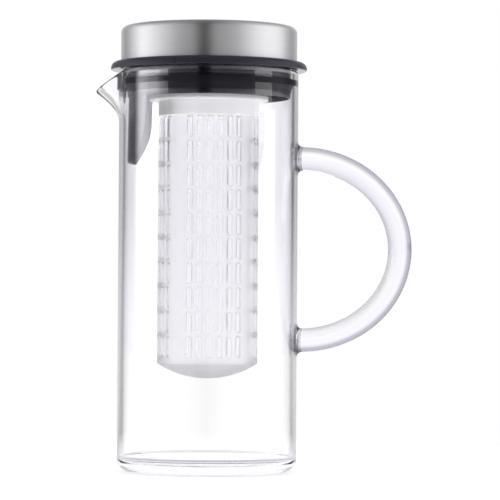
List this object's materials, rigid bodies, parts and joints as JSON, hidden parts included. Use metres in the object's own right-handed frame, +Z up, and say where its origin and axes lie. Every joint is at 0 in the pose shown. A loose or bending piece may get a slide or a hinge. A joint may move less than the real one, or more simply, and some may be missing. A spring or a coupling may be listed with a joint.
{
  "type": "fruit infuser pitcher",
  "caption": "Glass jug with drawn spout and welded rod handle, steel-capped stopper lid and a slotted infuser tube that screws up into the lid.",
  "frame": {"origin": "on the table at the centre of the glass base, on the jug's upright axis", "axes": "+Z up along the jug's axis, -X towards the spout, +X towards the handle"},
  "size_m": [0.1765, 0.1094, 0.2488],
  "materials": {
    "glass": "clear blown glass, fire polished",
    "brushed_cap": "stainless steel, fine brush lines round the side",
    "insert_plastic": "black moulded plastic",
    "satin_black": "satin black plastic",
    "gloss_black": "smooth black moulded plastic",
    "black_silicone": "black silicone",
    "screw_steel": "plain stainless steel",
    "clear_silicone": "translucent silicone",
    "frosted_plastic": "translucent frosted plastic"
  },
  "bodies": {
    "jug": {"glass_body": "glass", "glass_handle": "glass"},
    "seal": {"seal_ring": "black_silicone"},
    "lid": {"lid_cap": "brushed_cap", "cap_insert": "insert_plastic", "flange_ring": "satin_black", "lid_plug": "gloss_black", "pour_guard": "gloss_black", "guard_rivets": "screw_steel", "lid_screws": "screw_steel"},
    "gasket": {"infuser_gasket": "clear_silicone"},
    "infuser": {"infuser_tube": "frosted_plastic"}
  },
  "joints": [
    {"name": "lid_lift", "type": "slide", "parent": "jug", "child": "seal", "axis": [0, 0, 1], "range_m": [0, 0.19]},
    {"name": "lid_turn", "type": "hinge", "parent": "seal", "child": "lid", "pos_m": [0, 0, 0.2235], "axis": [0, 0, 1], "continuous": true},
    {"name": "infuser_unscrew", "type": "hinge", "parent": "lid", "child": "gasket", "pos_m": [0, 0, 0.2079], "axis": [0, 0, -1], "range_deg": [0, 540]},
    {"name": "infuser_lower", "type": "slide", "parent": "gasket", "child": "infuser", "axis": [0, 0, -1], "range_m": [0, 0.009]}
  ],
  "couplings": [
    {"joint": "infuser_lower", "follows": "infuser_unscrew", "m_per_rad": 0.00095492}
  ]
}
